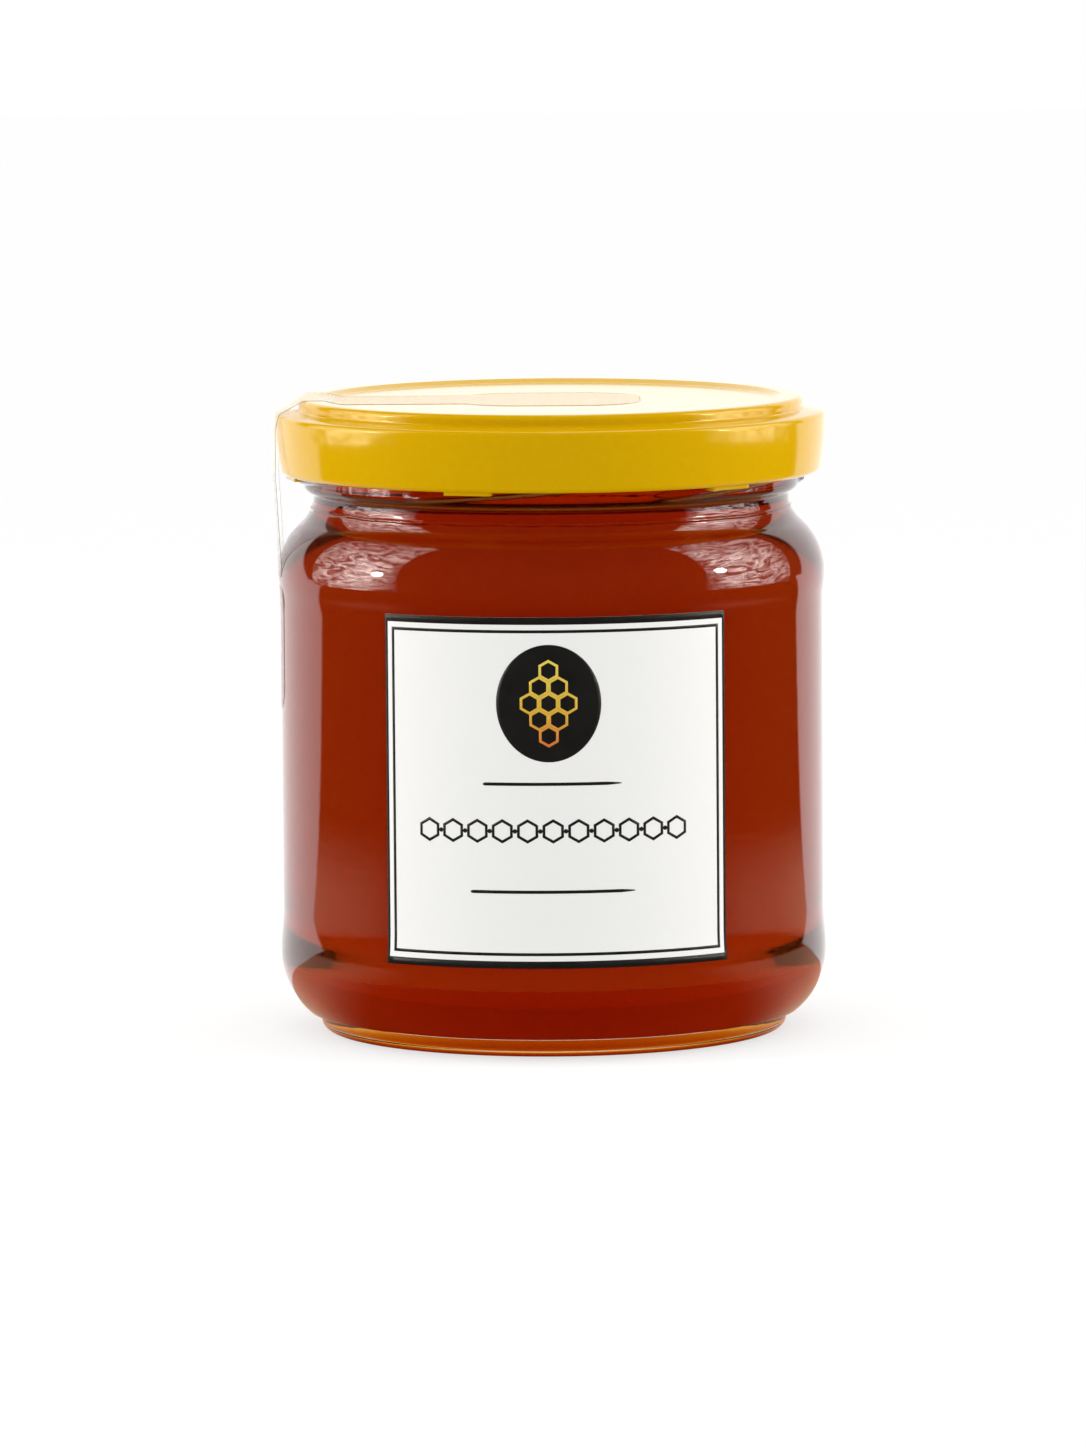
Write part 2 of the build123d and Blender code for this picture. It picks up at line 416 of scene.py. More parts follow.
def cavity(level, out=0.0):
    """The inside from its middle up to a level, moved outwards into the glass by out."""
    corner = floor_height - floor_crown
    flat = cavity_radius - cavity_corner
    wall = joined(
        arc((flat, corner + cavity_corner), cavity_corner, -90, 0, 24),
        line((cavity_radius, corner + cavity_corner), (cavity_radius, shoulder_height), 8),
        shoulder(cavity_radius, cavity_shoulder_round, cavity_neck_round, throat_radius, 24),
        line(
            (throat_radius, rim_height - throat_length), (throat_radius, rim_height - rim_round), 6
        ),
    )
    reach = np.linspace(0, 1, 12)[:, None]
    bottom = np.concatenate([reach * flat, floor_height - floor_crown * reach**2], 1)
    path = joined(bottom, wall)
    path = path[path[:, 1] < level]
    normal = right_of(path)
    normal[0] = (0, -1)
    return path + normal * out


inside = joined(
    arc((throat_radius + rim_round, rim_height - rim_round), rim_round, 90, 180, 8),
    cavity(rim_height - rim_round)[::-1],
)
jar_profile = joined(outside, inside)
print("outline of the glass has", len(jar_profile), "points")

# %% [markdown]
# The cap turns under six slanting ridges on the finish. They belong to the glass, so they are a
# swell of its outside: a smooth hump over a line that rises slowly as it goes round. Just under
# the collar, where the two halves of the neck's mould met, a fine uneven seam runs round.

# %% Ridges and the mould's seam
ridge_count = 6
ridge_proud = 0.9
ridge_width = 1.5
ridge_rise = 0.086  # rise for each millimetre along the ridge
ridge_half_angle = np.radians(40.5)
ridge_turn = np.radians(6.5)
ridge_height = 87.69
seam_height = 81.75
seam_proud = 0.16
seam_width = 0.22
seam_wander = 0.18  # how far it strays up and down
seam_break = 0.6  # how much its thickness varies


def waves(angle, seed, count=7, low=5):
    """A smooth uneven wave round the jar, from a few sines whose counts are whole numbers."""
    random = np.random.default_rng(seed)
    counts = random.integers(low, low * 6, count)
    phases = random.uniform(0, 2 * np.pi, count)
    return sum(np.sin(n * angle + p) for n, p in zip(counts, phases)) / count


def glass_swell(angle, height, radius):
    """Ridges and seam: each is a hump, the square of a cosine, across a line round the glass."""
    pitch = 2 * np.pi / ridge_count
    turn = (angle - ridge_turn + pitch / 2) % pitch - pitch / 2
    out = np.zeros_like(radius)
    for lap in (-1, 0, 1):
        along = turn + lap * pitch
        inner = np.clip(np.abs(along) / ridge_half_angle, 0, 1)
        end = np.sqrt(np.clip(1 - inner**24, 0, 1))
        middle = ridge_height + ridge_rise * finish_radius * np.sin(along)
        across = np.clip((height - middle) / (ridge_width / 2 * np.maximum(end, 0.05)), -1, 1)
        hump = np.clip(1 - across**2, 0, 1) ** 0.6 * (np.abs(along) < ridge_half_angle) * end
        out = np.maximum(out, ridge_proud * hump)
    outer = (radius > throat_radius + 1.5) & (height > collar_height)
    seam = (height - seam_height - seam_wander * waves(angle, 3)) / seam_width
    thickness = 1 + seam_break * waves(angle, 8, low=20)
    seam = np.exp(-(seam**2)) * thickness * (height < collar_height)
    return out * outer + seam_proud * seam * (radius > throat_radius + 1.5)


# %% [markdown]
# **Soda-lime glass**, pressed and blown: colourless, with a refractive index of 1.52. It is
# perfectly smooth to the touch, but the mould leaves long shallow waves, which show only as a
# ragged edge where a lamp is mirrored.


# %% Glass
glass_index = 1.52


def clear_glass(name, opacity=1.0):
    """Soda-lime glass: clear and smooth, with shallow waves that are longer round the jar."""
    made, tree, output = material(name)
    wave = add(
        tree,
        "ShaderNodeTexNoise",
        {"Vector": place(tree, (0.1, 0.1, 0.5)), "Scale": 1.0, "Detail": 3.0, "Roughness": 0.55},
    )
    bump = add(
        tree, "ShaderNodeBump", {"Height": wave.outputs[0], "Strength": 1.0, "Distance": 0.012 * MM}
    )
    body = add(
        tree,
        "ShaderNodeBsdfPrincipled",
        {
            "Base Color": linear("FFFFFF"),
            "Roughness": 0.0,
            "IOR": glass_index,
            "Alpha": opacity,
            "Transmission Weight": 1.0,
            "Normal": bump.outputs[0],
        },
    )
    tree.links.new(body.outputs[0], output.inputs["Surface"])
    return made


jar_steps = 200  # round the jar
jar_shell = turned(jar_profile, jar_steps, glass_swell)
jar = piece("jar_glass", [jar_shell], clear_glass("soda_lime_glass"), "glass_jar")

# %% [markdown]
# Glass and honey bend light nearly alike, so where honey wets the wall hardly anything is
# mirrored. A shader can't know what lies on the far side of a wall, so the wetted inside is the
# same glass with no opacity, and the honey's own index is 1.
#
# Light that enters at the bends of the heel and the shoulder is mirrored round inside the jar
# many times, and real honey, which is never quite clear, lets it out again as an amber glow.
# Paths of light are cut off after a few bounces here and would end black, so the wetted side
# carries a thin amber veil: a painted glow in place of the light that honey lets out.

# %% Wetted wall
# the amber veil on the wetted wall is painted glow: how much of it shows, and the heights it spans
glow_veil_share = 0.16
glow_veil_height = (11.0, 84.0)  # from the heel's rounding up to the neck


def painted_amber_glow():
    """A thin matt veil in honey's colour: painted glow in place of the light that honey lets out.
    """
    made, tree, output = material("amber_glow_painted_on_wall")
    body = add(
        tree,
        "ShaderNodeBsdfPrincipled",
        {"Base Color": linear("E86820"), "Roughness": 1.0, "IOR": 1.0, "Alpha": glow_veil_share},
    )
    tree.links.new(body.outputs[0], output.inputs["Surface"])
    return made


jar.data.materials.append(clear_glass("glass_wetted_by_honey", 0.0))
jar.data.materials.append(painted_amber_glow())
faces = jar.data.polygons
middles, facing = np.empty((2, len(faces) * 3))
faces.foreach_get("center", middles)
faces.foreach_get("normal", facing)
middles, facing = middles.reshape(-1, 3) / MM, facing.reshape(-1, 3)
inward = (middles[:, :2] * facing[:, :2]).sum(1) < -0.5
on_floor = (middles[:, 2] < floor_height + 0.1) & (facing[:, 2] > 0.5)
wetted = (inward | on_floor) & (middles[:, 2] > push_up + 1) & (middles[:, 2] < fill_level)
# faces that get the painted amber glow
glow_veil_faces = wetted & inward & (middles[:, 2] > glow_veil_height[0]) & (middles[:, 2] < glow_veil_height[1])
faces.foreach_set("material_index", wetted.astype(int) + glow_veil_faces)
print("wetted faces", wetted.sum(), "of", len(faces))

# %% [markdown]
# ## The honey
#
# Forest and summer honeys are clear and deep red-brown: a thin layer looks amber and a thick one
# almost red, because blue light is swallowed within a few millimetres, green within a
# centimetre or two, and red only within several centimetres. Absorption in the volume does
# exactly that, so the colour comes from the thickness. The surface reaches a little way into
# the glass, so no air shows between.

# %% Honey
honey_into_wall = 0.06  # how far it reaches into the glass
absorbed = np.array([18.0, 64.0, 170.0])  # of red, green and blue, for each metre


def clear_honey():
    """Liquid honey: it absorbs light by its way through, and only the glass's outside bends it."""
    made, tree, output = material("liquid_honey")
    body = add(
        tree,
        "ShaderNodeBsdfPrincipled",
        {
            "Base Color": (1, 1, 1, 1),
            "Roughness": 0.0,
            "IOR": 1.0,
            "Transmission Weight": 1.0,
        },
    )
    density = float(absorbed.max())
    volume = add(
        tree,
        "ShaderNodeVolumeAbsorption",
        {"Color": (*(1 - absorbed / density).tolist(), 1.0), "Density": density},
    )
    tree.links.new(body.outputs[0], output.inputs["Surface"])
    tree.links.new(volume.outputs[0], output.inputs["Volume"])
    return made


honey_side = cavity(fill_level, honey_into_wall)
honey_top = [[honey_side[-1, 0], fill_level], [0, fill_level]]
honey_profile = joined(honey_side, line(*honey_top, 6))
piece("clear_honey", [turned(honey_profile, 240)], clear_honey(), "honey")

# %% [markdown]
# ## The cap
#
# A twist-off cap is pressed from tinplate a quarter of a millimetre thick. From the middle out
# it has a flat panel, a raised ring that holds the seal on the glass's rim, a ledge, and a skirt
# whose edge is rolled shut into a round hem. Six lugs turn in from the hem under the ridges.

# %% Sizes of the cap, in millimetres
lid_low, lid_high = (np.array(corner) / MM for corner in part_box("lid"))
lid_bottom, ring_top = lid_low[2], lid_high[2]
sheet = 0.25
centre_height = ring_top - 0.6
ledge_height = ring_top - 2.4
ring_outer = finish_radius + 0.7
ring_inner = throat_radius + 0.7
skirt_widest = lid_high[0]
skirt_widest_height = ring_top - 3.4
skirt_curve = 0.0112  # how fast the skirt draws in, away from its widest height
hem_round = 1.0
lug_width = 7.4
lug_height = 1.0
lug_inner = 38.9
lug_lead = np.radians(35.4)


def skirt(height):
    """The skirt's radius at a height: a shallow curve with its widest point under the ledge."""
    return skirt_widest - skirt_curve * (height - skirt_widest_height) ** 2


# %% Cap
hem_height = lid_bottom + hem_round
hem_centre = (skirt(hem_height) - hem_round, hem_height)
skirt_heights = np.linspace(ledge_height - 0.9, hem_height, 30)
pressing = joined(
    rounded(
        [
            (0, centre_height),
            (ring_inner - 1.4, centre_height),
            (ring_inner, ring_top),
            (ring_outer, ring_top),
            (ring_outer, ledge_height + 0.6),
            (skirt(ledge_height) + 0.02, ledge_height),
            (skirt(skirt_heights[0]), skirt_heights[0]),
        ],
        [1.0, 0.8, 0.9, 0.5, 0.8],
        12,
    ),
    np.stack([skirt(skirt_heights), skirt_heights], -1),
)
inner_side = pressing + right_of(pressing) * sheet
inner_side[0, 0] = 0
hem_end = np.arccos(1 - sheet / hem_round)  # where the hem meets the inside of the skirt
hem = arc(hem_centre, hem_round, 0, np.degrees(hem_end) - 360, 40)
inner_side = inner_side[inner_side[:, 1] > hem_height + hem_round * np.sin(hem_end)]
cap_profile = joined(pressing, hem, inner_side[::-1])


def lug(middle):
    """A block that reaches in from the hem, rounded at its inner corners.

    Its grid is its top side, and it grows down from there, so it ends a little below the hem.
    """
    share = np.linspace(-1, 1, 12)
    half = lug_width / 2
    plan = np.stack([share * half, lug_inner + 0.6 * np.abs(share) ** 6], -1)
    back = np.stack([share * half, np.full(12, hem_centre[0])], -1)
    flat = np.stack([plan, back], 1)
    turn = np.array([[np.cos(middle), np.sin(middle)], [np.sin(middle), -np.cos(middle)]])
    across = flat @ turn.T
    top = np.full((*across.shape[:2], 1), hem_height - lug_height / 2)
    return slab(np.concatenate([across, top], -1), lug_height)


lug_angles = ridge_turn + lug_lead + np.arange(ridge_count) * 2 * np.pi / ridge_count

# %% [markdown]
# **Stove enamel on tinplate**: an opaque warm yellow lacquer, sprayed and baked before the cap
# was pressed. It is glossy, with a very fine orange peel.


# %% Enamel
def enamel():
    """Baked yellow enamel: opaque, hard and glossy."""
    made, tree, output = material("yellow_stove_enamel")
    peel = add(tree, "ShaderNodeTexNoise", {"Vector": place(tree), "Scale": 0.9, "Detail": 2.0})
    shade = add(
        tree,
        "ShaderNodeMix",
        {0: peel.outputs[0], 6: linear("D8A700"), 7: linear("DEAE00")},
        data_type="RGBA",
    )
    bump = add(
        tree, "ShaderNodeBump", {"Height": peel.outputs[0], "Strength": 1.0, "Distance": 0.002 * MM}
    )
    body = add(
        tree,
        "ShaderNodeBsdfPrincipled",
        {
            "Base Color": shade.outputs[2],
            "Roughness": 0.1,
            "IOR": 1.5,
            "Specular Tint": linear("FFF6C0"),
            "Normal": bump.outputs[0],
        },
    )
    tree.links.new(body.outputs[0], output.inputs["Surface"])
    return made


piece(
    "cap_pressing",
    [turned(cap_profile, 256), *(lug(a) for a in lug_angles)],
    enamel(),
    "lid",
)

# %% [markdown]
# ## The label
#
# A rectangle of coated paper lies on the panel and follows the slight bends at both its ends.
# Everything on it is laid out flat, in millimetres from its middle, and one function then wraps
# it on the glass. It is turned round the jar by a little less than a degree, as a label put on
# by hand is.

# %% Label sizes, in millimetres
label_low, label_high = (np.array(corner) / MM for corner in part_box("front_label"))
label_middle = (label_low[2] + label_high[2]) / 2
label_width = 55.3
label_height = 53.6
label_turn = np.radians(0.8)
label_skew = np.radians(0.1)
label_thickness = 0.15
ink_thickness = 0.02


def wrapped(flat, lift):
    """Flat label points (across, up) laid on the glass: across is a length round the panel.

    The radius at each height is the glass's own, and lift is how far the points stand off it.
    """
    across, up = flat[..., 0], flat[..., 1]
    angle = label_turn + (across * np.cos(label_skew) - up * np.sin(label_skew)) / panel_radius
    height = label_middle + up * np.cos(label_skew) + across * np.sin(label_skew)
    radius = np.interp(height, body_side[:, 1], body_side[:, 0]) + lift
    return np.stack([radius * np.sin(angle), -radius * np.cos(angle), height], -1)


def rectangle(width, height, count=60):
    """A rectangle of evenly spaced points, rows across and columns up."""
    across = np.linspace(-width / 2, width / 2, count)
    up = np.linspace(-height / 2, height / 2, count)
    return np.stack(np.meshgrid(across, up, indexing="ij"), -1)


# %% [markdown]
# The print is a black border, a thinner line inside it, an oval badge and two rules with
# tapering ends. The badge carries a small honeycomb in gold, and a chain of cells stands
# between the rules, since this jar names no maker and no sort. Each line of ink is a ribbon: two
# edges on either side of a path, wrapped on the paper and given the thickness of a film of ink.


# %% Printed shapes
def ribbon(path, width, ring=False):
    """A path's two edges: each point moved half a width to either side, mitred at the corners."""
    path = np.array(path, float)
    ahead = np.roll(path, -1, 0) - path if ring else np.gradient(path, axis=0)
    behind = path - np.roll(path, 1, 0) if ring else ahead
    ahead /= np.linalg.norm(ahead, axis=1, keepdims=True)
    behind = behind / np.linalg.norm(behind, axis=1, keepdims=True)
    side = np.stack([-(ahead + behind)[:, 1], (ahead + behind)[:, 0]], -1)
    side /= np.linalg.norm(side, axis=1, keepdims=True)
    mitre = 1 / np.clip((side * np.stack([-ahead[:, 1], ahead[:, 0]], -1)).sum(1), 0.5, 1)
    half = (np.array(width) / 2 * mitre)[:, None] * side
    return np.stack([path - half, path + half], 1)


def outline(corners, spacing=1.0):
    """A closed polygon's corners with evenly spaced points on its sides."""
    sides = list(zip(corners, np.roll(corners, -1, 0)))
    steps = [max(2, int(np.linalg.norm(b - a) / spacing)) for a, b in sides]
    return np.concatenate([line(a, b, n + 1)[:-1] for (a, b), n in zip(sides, steps)])


def cell(centre, radius):
    """The corners of a honeycomb cell that stands on a point."""
    angle = np.radians(60 * np.arange(6))
    return np.array(centre) + radius * np.stack([np.sin(angle), np.cos(angle)], -1)


def oval(centre, half_width, half_height, count=72):
    """Rows of an oval, from its top to its bottom, each as wide as the oval is there."""
    up = np.cos(np.linspace(0, np.pi, count))[:, None]
    across = np.sqrt(np.clip(1 - up**2, 0, 1)) * np.linspace(-1, 1, 25)
    up = np.broadcast_to(up, across.shape)
    return np.stack([centre[0] + half_width * across, centre[1] + half_height * up], -1)


def ink(flat, ring=False, lift=0.0):
    """A flat shape as a film of ink on the paper, its columns turned so that it faces outwards."""
    grid = wrapped(flat, label_thickness + lift)
    if (normals(grid, ring) * grid * (1, 1, 0)).sum() < 0:
        grid = grid[:, ::-1]
    return slab(grid, ink_thickness, ring)


# %% [markdown]
# **Coated label paper** is a bright, slightly warm white with a soft sheen, and offset ink lies
# on it in a film too thin to feel.


# %% Paper, ink and gold
def coated_paper():
    """Coated label paper: a matt white with faint fibres."""
    made, tree, output = material("coated_label_paper")
    fibre = add(
        tree,
        "ShaderNodeTexNoise",
        {"Vector": place(tree), "Scale": 2.2, "Detail": 4.0, "Roughness": 0.6},
    )
    shade = add(
        tree,
        "ShaderNodeMix",
        {0: fibre.outputs[0], 6: linear("FAFAF7"), 7: linear("FEFEFC")},
        data_type="RGBA",
    )
    bump = add(
        tree,
        "ShaderNodeBump",
        {"Height": fibre.outputs[0], "Strength": 0.6, "Distance": 0.004 * MM},
    )
    body = add(
        tree,
        "ShaderNodeBsdfPrincipled",
        {"Base Color": shade.outputs[2], "Roughness": 0.5, "IOR": 1.45, "Normal": bump.outputs[0]},
    )
    tree.links.new(body.outputs[0], output.inputs["Surface"])
    return made


def offset_ink():
    """Black offset ink: a warm near-black with a satin surface, a little uneven."""
    made, tree, output = material("black_offset_ink")
    patch = add(tree, "ShaderNodeTexNoise", {"Vector": place(tree), "Scale": 0.35, "Detail": 5.0})
    shade = add(
        tree,
        "ShaderNodeMix",
        {0: patch.outputs[0], 6: linear("121110"), 7: linear("242320")},
        data_type="RGBA",
    )
    body = add(
        tree,
        "ShaderNodeBsdfPrincipled",
        {"Base Color": shade.outputs[2], "Roughness": 0.45, "IOR": 1.48},
    )
    tree.links.new(body.outputs[0], output.inputs["Surface"])
    return made


def gold_ink(low, high):
    """Gold ink that runs from orange at its lowest point to light yellow at its highest."""
    made, tree, output = material("gold_ink")
    here = add(tree, "ShaderNodeSeparateXYZ", {0: place(tree)})
    share = add(
        tree, "ShaderNodeMapRange", {"Value": here.outputs["Z"], "From Min": low, "From Max": high}
    )
    ramp = add(tree, "ShaderNodeValToRGB", {0: share.outputs[0]})
    ramp.color_ramp.elements[0].color = linear("E2742A")
    ramp.color_ramp.elements[1].color = linear("F1DA55")
    middle = ramp.color_ramp.elements.new(0.42)
    middle.color = linear("E8B832")
    body = add(
        tree,
        "ShaderNodeBsdfPrincipled",
        {"Base Color": ramp.outputs[0], "Roughness": 0.35, "IOR": 1.48},
    )
    tree.links.new(body.outputs[0], output.inputs["Surface"])
    return made


# %% Label and its print
border_width, border_side = 1.1, 0.45
line_width = 0.45
line_inset = np.array([1.45, 2.15])  # label's edge to the thin line's middle
badge_centre = (-1.15, 13.7)
badge_half = (8.0, 8.95)
comb_rows = (1, 2, 3, 2, 1)
comb_cell = 1.66
comb_line = 0.4
rules = [(-0.7, 1.4, 10.6), (-0.7, -15.1, 12.65)]  # middle across, height and half length
rule_width = 0.48
rule_blunt = 0.4  # length of the blunt end on the left
rule_taper = 2.4  # length of the thin end on the right
chain_middle = (-0.6, -5.8)
chain_cell = 1.62
chain_half = 19.4
chain_count = 11

label_sheet = slab(wrapped(rectangle(label_width, label_height), 0.0), label_thickness)
piece("label_paper", [label_sheet], coated_paper(), "front_label")

half = np.array([label_width, label_height]) / 2
signs = np.array([[-1, -1], [1, -1], [1, 1], [-1, 1]])
outer_edge = outline(signs * half)
inner_edge = outer_edge * (half - np.array([border_side, border_width])) / half
border = np.stack([outer_edge, inner_edge], 1)
thin = ribbon(outline(signs * (half - line_inset)), line_width, True)


def rule(middle, height, half_length):
    """A straight rule with a blunt left end and a right end that thins out."""
    along = np.linspace(-half_length, half_length, 80)
    left, right = half_length + along, half_length - along
    ends = np.minimum(left / rule_blunt + 0.3, right / rule_taper + 0.1).clip(0, 1)
    return ribbon(np.stack([middle + along, np.full(80, height)], -1), rule_width * ends**0.6)


chain_across = np.linspace(-chain_half, chain_half, chain_count) + chain_middle[0]
dots_across = (chain_across[1:] + chain_across[:-1]) / 2
chain_line = 0.42
dot_radius = 0.34
black = [
    ink(border, True),
    ink(thin, True),
    ink(oval(badge_centre, *badge_half)),
    *(ink(rule(*sizes)) for sizes in rules),
    *(
        ink(ribbon(outline(cell((x, chain_middle[1]), chain_cell)), chain_line, True), True)
        for x in chain_across
    ),
    *(ink(oval((x, chain_middle[1]), dot_radius, dot_radius, 16)) for x in dots_across),
]
piece("label_ink", black, offset_ink())

comb_pitch = np.array([comb_cell * np.sqrt(3), comb_cell * 1.5])
comb_middles = [
    badge_centre + comb_pitch * (place_in_row - (cells - 1) / 2, 2 - row)
    for row, cells in enumerate(comb_rows)
    for place_in_row in range(cells)
]
comb = [
    ink(ribbon(outline(cell(c, comb_cell * 0.9)), comb_line, True), True, ink_thickness)
    for c in comb_middles
]
comb_reach = comb_pitch[1] * 2 + comb_cell
comb_height = label_middle + badge_centre[1]
gold = gold_ink(comb_height - comb_reach, comb_height + comb_reach)
piece("label_gold", comb, gold)

# %% [markdown]
# ## The seal strip
#
# A strip of clear film starts in a rounded head on the cap's middle, crosses the raised ring,
# bends over the skirt's corner, hangs free past the neck and is stuck to the glass below the
# shoulder. Along its length it is a path of (distance from the axis, height). Across its width
# it lies straight on the flat panel and curves with the cap and the glass further out.

# %% Strip
film = 0.12  # it grows from its path towards the jar
film_gap = 0.05
bend_start, bend_end = ring_inner - 2.4, ring_outer - 1.0  # radii between which it bends
band_half = 8.3
band_round = 4.0
head_half = (14.0, 13.0)
head_round = 9.0
strip_low = np.array(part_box("seal_strip")[0]) / MM
hang_radius, strip_end = -strip_low[0] - film, strip_low[2]

film_path = rounded(
    [
        (-head_half[0], centre_height + film_gap),
        (bend_start, centre_height + film_gap),
        (ring_inner, ring_top + film_gap),
        (ring_outer - 0.2, ring_top + film_gap),
        (skirt(ledge_height) + 0.1, ledge_height + 0.35),
        (hang_radius, ledge_height - 2.0),
        (hang_radius, lid_bottom),
        (shoulder_radius + film_gap, shoulder_height + 1.0),
        (panel_radius + film_gap, panel_top - 0.9),
        (panel_radius + film_gap, strip_end),
    ],
    [6.0, 0.8, 0.9, 0.9, 2.5, 12.0, 12.0, 4.0],
    16,
)
lengths = np.concatenate([[0], np.cumsum(np.linalg.norm(np.diff(film_path, axis=0), axis=1))])
film_steps = np.linspace(0, lengths[-1], int(lengths[-1] / 0.5))
film_rows = np.stack([np.interp(film_steps, lengths, film_path[:, k]) for k in (0, 1)], -1)


def film_half(distance, length_left):
    """Half the strip's width: the head's rounded rectangle, then the band and its rounded end."""
    corner = np.clip(np.abs(distance) - (head_half[0] - head_round), 0, head_round)
    head = head_half[1] - head_round + np.sqrt(head_round**2 - corner**2)
    from_end = np.clip(band_round - length_left, 0, band_round)
    band = band_half - band_round + np.sqrt(band_round**2 - from_end**2)
    on_head = distance < head_half[0]
    return np.where(on_head & (distance < 0), head, np.where(on_head, np.maximum(head, band), band))


def smooth_step(low, high, value):
    """Nought below low, one above high, and a smooth rise between."""
    share = np.clip((value - low) / (high - low), 0, 1)
    return share * share * (3 - 2 * share)


# %% Film on the cap and the glass
distance, height = film_rows[:, :1], film_rows[:, 1:]
left = lengths[-1] - film_steps[:, None]
across = film_half(distance, left) * np.linspace(-1, 1, 41)
bent = film_rows[:, 0] > bend_end
bending = smooth_step(bend_start, bend_end, distance)
bending[np.argmax(bent) :] = 1.0
radius = distance + (1 - bending) * (np.hypot(distance, across) - distance)
cap_part = film_rows[(film_rows[:, 0] >= 0) & (film_steps < film_steps[bent][0])]
on_cap_height = np.interp(radius, cap_part[:, 0], cap_part[:, 1])
film_height = np.where(bending < 1, on_cap_height, height)
film_x = -np.sign(distance) * np.sqrt(np.clip(radius**2 - across**2, 0, None))
film_grid = np.stack(np.broadcast_arrays(film_x, across, film_height), -1)


# %% [markdown]
# **Clear film**: a tamper seal of polyester film with a little haze. It is far too thin to bend
# light, so most of it is left open by its alpha, and what remains is a faint gloss that shows at
# its edges and at a shallow angle. A film of solid clear plastic would darken what lies under it.


# %% Film
film_face_on, film_edge_on = 0.1, 0.8  # how much of it shows
film_slant = (0.6, 0.97)  # slants between which it goes from one to the other


def clear_film():
    """Clear polyester film: smooth, with faint ripples from being drawn over the cap."""
    made, tree, output = material("clear_polyester_film")
    here = place(tree, (0.15, 0.6, 0.3))
    ripple = add(tree, "ShaderNodeTexNoise", {"Vector": here, "Detail": 2.0})
    bump = add(
        tree,
        "ShaderNodeBump",
        {"Height": ripple.outputs[0], "Strength": 1.0, "Distance": 0.02 * MM},
    )
    slant = add(tree, "ShaderNodeLayerWeight", {"Blend": 0.5}).outputs["Facing"]
    shown = add(
        tree,
        "ShaderNodeMapRange",
        {
            "Value": slant,
            "From Min": film_slant[0],
            "From Max": film_slant[1],
            "To Min": film_face_on,
            "To Max": film_edge_on,
        },
    )
    body = add(
        tree,
        "ShaderNodeBsdfPrincipled",
        {
            "Base Color": linear("FFFFFF"),
            "Roughness": 0.03,
            "IOR": 1.3,
            "Alpha": shown.outputs[0],
            "Transmission Weight": 1.0,
            "Normal": bump.outputs[0],
        },
    )
    tree.links.new(body.outputs[0], output.inputs["Surface"])
    return made


strip = piece("seal_film", [slab(film_grid, film)], clear_film(), "seal_strip")

# %% [markdown]
# Light that runs along inside a film leaves it at its **cut edge**, which is why a clear film shows
# as a thin line there. The narrow faces along the edge get a dull cream colour: a painted line of
# light in place of that light.

# %% Cut edge of the film
# how much of the painted light line on the cut edge shows
edge_light_shown = 0.75


def painted_edge_light():
    """The film's cut edge: rough, and a dull cream that paints the light leaving it."""
    made, tree, output = material("film_edge_painted_light")
    body = add(
        tree,
        "ShaderNodeBsdfPrincipled",
        {"Base Color": linear("9C9068"), "Roughness": 0.4, "Alpha": edge_light_shown},
    )
    tree.links.new(body.outputs[0], output.inputs["Surface"])
    return made


# the narrow faces along the edge get the painted light line
strip.data.materials.append(painted_edge_light())
areas = np.empty(len(strip.data.polygons))
strip.data.polygons.foreach_get("area", areas)
narrow = areas < film * 0.8 * MM**2
strip.data.polygons.foreach_set("material_index", narrow.astype(int))
print("faces along the cut edge", narrow.sum(), "of", len(narrow))

# %% [markdown]
# ## The studio
#
# The jar stands on a white table in front of a white backdrop. Two large soft boxes face each
# other across the table, and the side from which the jar is seen is dark, so that clear dark
# honey keeps its colour in the middle and gets bright edges. Rays that are bent through the
# glass see white all round, rays mirrored by it see the boxes and the backdrop, and matt
# surfaces are lit evenly.


# %% Studio
room_light = 0.82  # what matt surfaces get from all round
behind_light = 1.33  # backdrop, as glass and enamel mirror it
front_light = 0.02  # the dark side, as they mirror it
backdrop_left = (0.9, 123.0)  # its edge's bearing: degrees more for each one up, and at the table
backdrop_right = (0.3, 129.0)
backdrop_soft = 3.0  # degrees over which the edge fades


def ray_kinds(tree):
    """The kinds of ray that the studio's surfaces tell apart."""
    path = add(tree, "ShaderNodeLightPath")
    return [path.outputs[f"Is {kind} Ray"] for kind in ("Camera", "Transmission", "Glossy")]


def calculate(tree, operation, *values, clamp=False):
    """A Math node of an operation on values or sockets."""
    return add(
        tree, "ShaderNodeMath", dict(enumerate(values)), operation=operation, use_clamp=clamp
    ).outputs[0]


def ramp(tree, value, low, high):
    """Nought below low, one above high, smooth between."""
    settings = {"Value": value, "From Min": low, "From Max": high}
    return add(tree, "ShaderNodeMapRange", settings, interpolation_type="SMOOTHSTEP").outputs[0]


def choose(tree, share, otherwise, chosen):
    """One number or the other, by a share."""
    return add(tree, "ShaderNodeMix", {0: share, 2: otherwise, 3: chosen}).outputs[0]


def bearing(tree, vector):
    """A direction's bearing in degrees, from the front (0) to the back (180).

    With it come whether the direction is to the right, and its parts.
    """
    parts = add(tree, "ShaderNodeSeparateXYZ", {0: vector})
    forward = calculate(tree, "MULTIPLY", parts.outputs["Y"], -1.0)
    aside = calculate(tree, "ABSOLUTE", parts.outputs["X"])
    turn = calculate(tree, "DEGREES", calculate(tree, "ARCTAN2", aside, forward))
    right = calculate(tree, "GREATER_THAN", parts.outputs["X"], 0.0)
    return turn, right, parts


